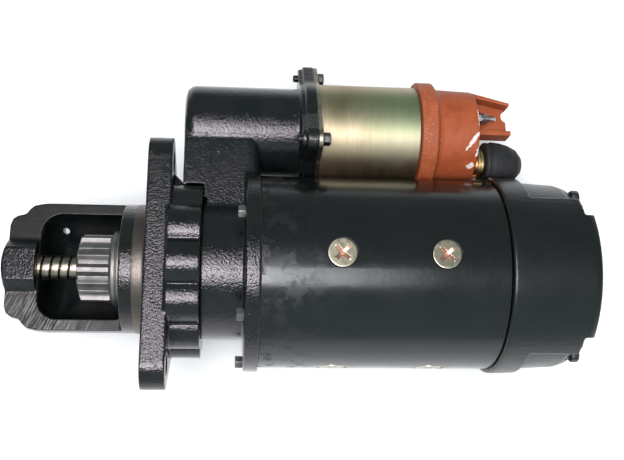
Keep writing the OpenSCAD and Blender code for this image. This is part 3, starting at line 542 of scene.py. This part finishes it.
def skin(count, segments, closed=False):
    """Faces over rings of vertices. Closed rings return to the first one, others are capped."""
    faces = []
    for i in range(count if closed else count - 1):
        low, high = i * segments, (i + 1) % count * segments
        for j in range(segments):
            k = (j + 1) % segments
            faces.append((low + j, low + k, high + k, high + j))
    if not closed:
        faces.append(tuple(range(segments - 1, -1, -1)))
        faces.append(tuple((count - 1) * segments + j for j in range(segments)))
    return faces


def turned(rings, segments=72, at=(0.0, 0.0), closed=False):
    """Rings about a line along X, in mm: each is (x, radius) or a function of the angle that gives
    that pair."""
    verts = []
    for ring in rings:
        for j in range(segments):
            angle = 2 * math.pi * j / segments
            x, radius = ring(angle) if callable(ring) else ring
            verts.append((x, at[0] + radius * math.cos(angle), at[1] + radius * math.sin(angle)))
    return verts, skin(len(rings), segments, closed)


def built(name, parts, body, slot_name, material, *replaced, sharp=32):
    """One piece out of several (verts, faces) parts in mm."""
    verts, faces = [], []
    for part_verts, part_faces in parts:
        base = len(verts)
        verts.extend(part_verts)
        faces.extend(tuple(base + i for i in face) for face in part_faces)
    mesh = bpy.data.meshes.new(name)
    mesh.from_pydata([tuple(c * MM for c in v) for v in verts], [], faces)
    work = bmesh.new()
    work.from_mesh(mesh)
    bmesh.ops.recalc_face_normals(work, faces=work.faces)
    work.to_mesh(mesh)
    work.free()
    mesh.polygons.foreach_set("use_smooth", [True] * len(mesh.polygons))
    mesh.set_sharp_from_angle(angle=rad(sharp))
    return add_piece(name, mesh, body, slot_name, material, *replaced)


def hex_bolt(out, seat, tip, flats, radius, at, turn):
    """Hexagon bolt with a chamfered, slightly dished head; out is the head's free end."""
    toward = 1.0 if seat > out else -1.0
    half = flats / 2
    corner = hexagon(flats, turn)
    rings = [
        (out + toward * 0.45, 0.05), (out + toward * 0.45, 0.55 * half),
        (out + toward * 0.05, 0.70 * half), (out, 0.92 * half),
        lambda a: (out + toward * 0.62 * max(0.0, corner(a) - 0.92 * half), corner(a) - 0.02),
        lambda a: (seat - toward * 0.75, corner(a)),
        lambda a: (seat - toward * 0.5, corner(a) - 0.12),
        (seat - toward * 0.42, 0.98 * half), (seat, 0.96 * half), (seat, radius),
        (tip - toward * 0.8, radius), (tip, radius - 0.8)]
    return turned(rings, 48, at)


def thread(x0, x1, radius, pitch, depth, steps=6):
    """Rings of a helical thread between two points."""
    count = int(round((x1 - x0) / pitch * steps))
    rings = []
    for i in range(count + 1):
        x = x0 + (x1 - x0) * i / count

        def ring(angle, x=x):
            phase = (x / pitch - angle / (2 * math.pi)) % 1.0
            return x, radius - depth * abs(2 * phase - 1)
        rings.append(ring)
    return rings


def at_angle(angle, distance, base=(0.0, 0.0)):
    """(y, z) of a point at a distance from a line along X."""
    return base[0] + distance * math.cos(angle), base[1] + distance * math.sin(angle)


def paint(material, *names):
    """Gives a material to CAD nodes that are carried over as they are."""
    for name in names:
        mesh = nodes[name].data
        mesh.materials.clear()
        mesh.materials.append(material)


# ---------------------------------------------------------------- carried-over nodes

paint(YOKE, "yoke")
paint(ZINC_CASE, "solenoid_case")
paint(STEEL, "clutch_cover", "fork_collar", "plunger", "lever_pivot_pin", "centre_bearing_plate")
paint(DARK, "clutch_shell", "clutch_sleeve", "clutch_rollers", "shift_lever", "plunger_rod",
      "solenoid_core", "mesh_spring", "brush_springs", "contact_rod", "nose_screws")
paint(LAMINATED, "armature_core", "pole_shoe_1", "pole_shoe_2", "pole_shoe_3", "pole_shoe_4")
paint(COPPER, "commutator", "moving_contact", "motor_terminal", "battery_terminal", "motor_lead")
paint(ENAMEL, "field_coil_1", "field_coil_2", "field_coil_3", "field_coil_4", "armature_winding",
      "solenoid_winding")
paint(BRASS, "brush_holders")
paint(BRONZE, "nose_bush", "centre_bush", "rear_bush")
paint(PALE, "solenoid_bobbin", "brush_plate")
paint(RUBBER, "lead_grommet", "yoke_gasket")
paint(CARBON, "carbon_brushes")

# ---------------------------------------------------------------- pieces

# height and size of the lumps left by the sand mould, in mm
SAND_RELIEF = (0.06, 3.0)
softened(["drive_end_housing", "drive_end_nose"], 0.7, "housing", "black_casting", NOSE, 2, SAND_RELIEF)
softened(["lever_housing"], 0.7, "housing", "black_casting", CASTING, 3, SAND_RELIEF)
softened(["commutator_end_cap"], 0.8, "housing", "black_paint", CAP)
softened(["solenoid_cap"], 0.45, "housing", "terracotta_plastic", TERRACOTTA)
softened(["terminal_boot"], 0.4, "housing", "rubber", RUBBER)
softened(["drive_pinion"], 0.3, "pinion", "machined_steel", TOOTH, 1)
softened(["solenoid_flange_plate"], 0.35, "housing", "yellow_zinc", ZINC_PLATE, 1)


def at_turn(y, z, turn):
    """(y, z) turned about the shaft."""
    return y * math.cos(turn) - z * math.sin(turn), y * math.sin(turn) + z * math.cos(turn)


# each bolt: the head's free end, its seat, the tip, width over flats and shank radius
FLANGE_BOLT = (59.5, 64.5, 86.0, 8.0, 2.6)
MOUNT_BOLT = (121.4, 116.0, 98.5, 8.0, 2.6)
END_BOLT = (293.5, 288.0, 216.0, 9.0, 3.0)
END_SCREW = (292.0, 288.0, 268.0, 7.0, 2.0)

flange_bolt_at, mount_bolt_at = 63.0, 44.5
flange_bolts = [hex_bolt(*FLANGE_BOLT, at_angle(rad(a), flange_bolt_at), rad(a) + 0.5)
                for a in (64.5, 127.0, 185.0, 245.0, 305.0)]
mount_bolts = [hex_bolt(*MOUNT_BOLT, at_angle(rad(120 * i - 5), mount_bolt_at, SOLENOID_AXIS), 0.3)
               for i in range(3)]
corners = [(s, t) for s in (-1, 1) for t in (-1, 1)]
cap_turn = rad(11)
end_bolts = [hex_bolt(*END_BOLT, at_turn(s * 54.0, t * 27.3, cap_turn), 0.2) for s, t in corners]
end_screws = [hex_bolt(*END_SCREW, at_turn(s * 45.0, t * 38.0, cap_turn), 0.4) for s, t in corners]
built("flange_bolts", flange_bolts, "housing", "black_screws", GREY_BOLT, "lever_housing_bolts")
built("mount_bolts", mount_bolts, "housing", "black_screws", BLACK_BOLT, "solenoid_bolts")
built("end_bolts", end_bolts, "housing", "black_screws", BLACK_BOLT, "cap_bolts")
built("end_screws", end_screws, "housing", "black_screws", BLACK_BOLT, "cap_screws")


def step(value, soft=0.3):
    """0 below zero, 1 above soft, smooth between."""
    t = min(1.0, max(0.0, value / soft))
    return t * t * (3 - 2 * t)


def cross_depth(u, v):
    """How deep the tapered cross recess is at a point of a pole screw's face."""
    arm_half, arm_reach, middle_r, deepest = 1.3, 5.7, 1.9, 3.0
    sunk = 0.0
    for c in (math.pi / 4, 3 * math.pi / 4):
        along = abs(u * math.cos(c) + v * math.sin(c))
        across = abs(v * math.cos(c) - u * math.sin(c))
        depth = deepest - 1.7 * min(1.0, along / 5.4)
        sunk = max(sunk, depth * step(arm_half - across) * step(arm_reach - along))
    return max(sunk, deepest * step(middle_r - math.hypot(u, v), 0.8))


def pole_screw(place_x, turn):
    """Countersunk head with a cross recess; the recess also marks the shank hidden below it. The
    screw's axis is radial."""
    segments = 96
    recess_r = 6.5
    fine = [0.05] + [0.25 * i for i in range(1, 25)]
    rings = [(radius, SCREW_FACE_R) for radius in fine + [6.8, 7.8, 8.8]]
    rings += [(9.15, 66.17), (9.33, 66.05), (SCREW_HEAD_R, 65.85), (SCREW_HEAD_R, 65.3)]
    rings += [(4.6, 60.3), (4.6, 46.9)]
    verts = []
    for radius, level in rings:
        for j in range(segments):
            angle = 2 * math.pi * j / segments
            u, v = radius * math.cos(angle), radius * math.sin(angle)
            sunk = cross_depth(u, v) if radius < recess_r else 0.0
            verts.append((place_x + u, *at_turn(v, level - sunk, turn)))
    return verts, skin(len(rings), segments)


pole_screws = [pole_screw(x, rad(90 * quarter)) for quarter in range(4) for x in SCREW_X]
built("pole_screws_crossed", pole_screws, "housing", "yellow_zinc", ZINC_SCREW, "pole_screws", sharp=40)


def shaft_rings():
    """The shaft's profile, with slanting oil grooves in the nose and splines under the clutch."""
    rings = [(-90.0, 7.7), (-89.2, NOSE_SHAFT_R), (-76.0, NOSE_SHAFT_R)]
    groove_pitch, groove_depth = 6.1, 0.75
    spline_root_r, spline_height = 11.0, 1.5
    steps = 110
    for i in range(steps + 1):
        x = -75.5 + 30.0 * i / steps

        def groove(angle, x=x):
            phase = (x / groove_pitch + angle / (2 * math.pi)) % 1.0
            hollow = step(0.13 - abs(phase - 0.5), 0.06)
            ends = step(x - GROOVES_X[0], 1.0) * step(GROOVES_X[1] - x, 1.0)
            crown = 0.12 * abs(math.cos(math.pi * phase))
            return x, NOSE_SHAFT_R - ends * (groove_depth * hollow + 0.12 - crown)
        rings.append(groove)

    def spline(x, height):
        def ring(angle):
            off = abs((angle + rad(30)) % rad(60) - rad(30))
            return x, spline_root_r + height * step(rad(8.6) - off, rad(1.5))
        return ring
    rings += [(14.0, NOSE_SHAFT_R), (15.0, spline_root_r), spline(16.0, 0.0), spline(16.1, spline_height),
              spline(66.4, spline_height), spline(66.5, 0.0), (66.8, spline_root_r)]
    rings += [(66.81, 12.5), (84.0, 12.5), (84.01, 14.0), (230.0, 14.0), (230.01, 12.0),
              (265.0, 12.0), (265.01, 7.5), (289.2, 7.5), (290.0, 6.7)]
    return rings


built("shaft_grooved", [turned(shaft_rings(), 144)], "armature", "machined_steel", SHAFT, "armature_shaft")


def nut(x0, x1, flats, bore, at, turn=0.0):
    """Hexagon nut, chamfered at both ends."""
    corner = hexagon(flats, turn)
    half = flats / 2
    return turned([
        (x0, bore + 0.25), (x0, 0.94 * half),
        lambda a: (x0 + 0.6 * max(0.0, corner(a) - 0.94 * half), corner(a) - 0.02),
        lambda a: (x1 - 0.6 * max(0.0, corner(a) - 0.94 * half), corner(a) - 0.02),
        (x1, 0.94 * half), (x1, bore + 0.25), (x1 - 0.3, bore), (x0 + 0.3, bore)], 72, at, closed=True)


def washer(x0, x1, radius, bore, at):
    """Flat washer with its outer edges broken."""
    edge = min(0.35, (x1 - x0) / 3)
    return turned([(x0, bore), (x0, radius - edge), (x0 + edge, radius), (x1 - edge, radius),
                   (x1, radius - edge), (x1, bore)], 72, at, closed=True)


terminal_nuts = [
    nut(235.6, 240.2, 15, STUD_R, MOTOR),
    nut(233.2, 240.2, 15, STUD_R, BATTERY, 0.3),
    nut(232.6, 236.4, 8, SWITCH_STUD_R, SWITCH, 0.2),
    nut(237.2, 240.6, 8, SWITCH_STUD_R, SWITCH, 0.9),
    washer(236.3, 237.3, 3.5, SWITCH_STUD_R, SWITCH)]
terminal_washers = [
    washer(231.2, 233.3, 12.0, STUD_R, MOTOR),
    washer(233.4, 235.6, 11.4, STUD_R, MOTOR),
    washer(228.5, 231.0, 9.0, STUD_R, BATTERY),
    washer(231.1, 233.2, 8.6, STUD_R, BATTERY),
    washer(229.0, 230.9, 5.0, SWITCH_STUD_R, SWITCH),
    washer(231.0, 232.6, 4.4, SWITCH_STUD_R, SWITCH)]
switch_stud = turned([(216.0, 4.0), (219.0, 4.0), (219.01, SWITCH_STUD_R), (240.4, SWITCH_STUD_R)]
                     + thread(240.5, 246.6, 2.2, 0.8, 0.34) + [(246.9, 1.8), (247.4, 1.4)], 32, SWITCH)
built("nuts_chamfered", terminal_nuts, "housing", "white_zinc", WHITE_ZINC, "terminal_nuts")
built("washers_rounded", terminal_washers, "housing", "brass", BRASS, "terminal_washers")
built("switch_stud_threaded", [switch_stud], "housing", "white_zinc", WHITE_ZINC, "switch_terminal")


def coil(x0, x1, radius, wire, turns, at, steps=28, sides=10):
    """A spring of round wire along X, in mm."""
    verts = []
    rise = (x1 - x0 - 2 * wire) / turns / steps
    rings = turns * steps + 1
    for i in range(rings):
        angle = 2 * math.pi * i / steps
        for j in range(sides):
            across = 2 * math.pi * j / sides
            out = radius + wire * math.cos(across)
            verts.append((x0 + wire + rise * i + wire * math.sin(across),
                          at[0] + out * math.cos(angle), at[1] + out * math.sin(angle)))
    return verts, skin(rings, sides)


# in the starter the plunger carries the spring's near end up to the core, so the spring shortens by the
# stroke; here the whole spring rides on the plunger and gets a mesh of its own
spring = built("return_spring_coiled", [coil(*SPRING_X, 7.6, 0.9, 7, SOLENOID_AXIS)],
               "plunger", "dark_steel", DARK, "return_spring")
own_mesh(spring)

# ---------------------------------------------------------------- stage, light, camera

# the starter lies on the lowest corner of its flange and on the rear edge of its end cap, so the
# table slopes in this frame
corner_x, corner_z = 8.0 * MM, cad_box[0][2] - 0.3 * MM
cap_x, cap_z = 291.0 * MM, -68.8 * MM
slope = (cap_z - corner_z) / (cap_x - corner_x)
reach = 3.0
table_corners = [(-reach, -reach), (reach, -reach), (reach, reach), (-reach, reach)]
mesh = bpy.data.meshes.new("floor")
mesh.from_pydata([(x, y, corner_z + (x - corner_x) * slope) for x, y in table_corners], [], [(0, 1, 2, 3)])
floor = bpy.data.objects.new("floor", mesh)
bpy.context.scene.collection.objects.link(floor)
g = Graph("table_white", (0.86, 0.87, 0.87), 0.45)
g.color(g.mix(g.noise(6, 3), (0.83, 0.84, 0.84), (0.89, 0.89, 0.89)))
g.bump((g.noise(300, 2), 0.05, 0.0002))
mesh.materials.append(g.mat)


def area_light(name, place, size, power, color=(1, 1, 1)):
    """A box that shines straight down."""
    light = bpy.data.lights.new(name, "AREA")
    light.shape = "RECTANGLE"
    light.size, light.size_y = size
    light.energy = power
    light.color = color
    made = bpy.data.objects.new(name, light)
    bpy.context.scene.collection.objects.link(made)
    made.location = place
    return made


# three boxes in a row in front of the starter, dimming towards +X, and a small one over the nose
tint = (1.0, 0.97, 1.0)
box_z = 1.25
area_light("softbox", (-0.11, -0.36, box_z), (0.46, 0.50), 13.0, tint)
area_light("softbox_middle", (0.24, -0.40, box_z), (0.24, 0.44), 2.6, tint)
area_light("softbox_edge", (0.42, -0.36, box_z), (0.12, 0.48), 0.22, tint)
area_light("nose_box", (-0.13, 0.09, box_z), (0.28, 0.20), 3.0, tint)
# evens out the table without a second highlight on the paint
soft = area_light("bounce", (0.1, 0.1, 2.2), (2.6, 2.6), 34)
soft.visible_glossy = False

# the studio's walls, brightest on the camera's side
world = bpy.data.worlds.new("studio")
bpy.context.scene.world = world
world.use_nodes = True
sky = world.node_tree
direction = sky.nodes.new("ShaderNodeTexCoord")
split = sky.nodes.new("ShaderNodeSeparateXYZ")
fade = sky.nodes.new("ShaderNodeMapRange")
for key, number in (("From Min", -0.95), ("From Max", 0.1), ("To Min", 0.7), ("To Max", 0.27)):
    fade.inputs[key].default_value = number
sky.links.new(direction.outputs["Generated"], split.inputs[0])
sky.links.new(split.outputs[1], fade.inputs["Value"])
sky.links.new(fade.outputs["Result"], sky.nodes["Background"].inputs["Strength"])
sky.nodes["Background"].inputs["Color"].default_value = (0.84, 0.99, 1.0, 1.0)

camera_data = bpy.data.cameras.new("camera")
camera_data.sensor_width = 36.0
camera_data.lens = 49.15
camera_data.clip_start = 0.01
camera = bpy.data.objects.new("camera", camera_data)
bpy.context.scene.collection.objects.link(camera)
# the photo's angle: from high in front of the starter, looking down and a little towards +Y
right = Vector((0.99569, -0.00156, 0.09276))
up = Vector((-0.02069, 0.97094, 0.23841))
ahead = Vector((0.09043, 0.23930, -0.96672))
place = Vector((0.057525, -0.114734, 0.585788))
camera.matrix_world = Matrix((right, up, -ahead)).transposed().to_4x4()
camera.matrix_world.translation = place
bpy.context.scene.camera = camera
bpy.context.scene.view_settings.view_transform = "Standard"
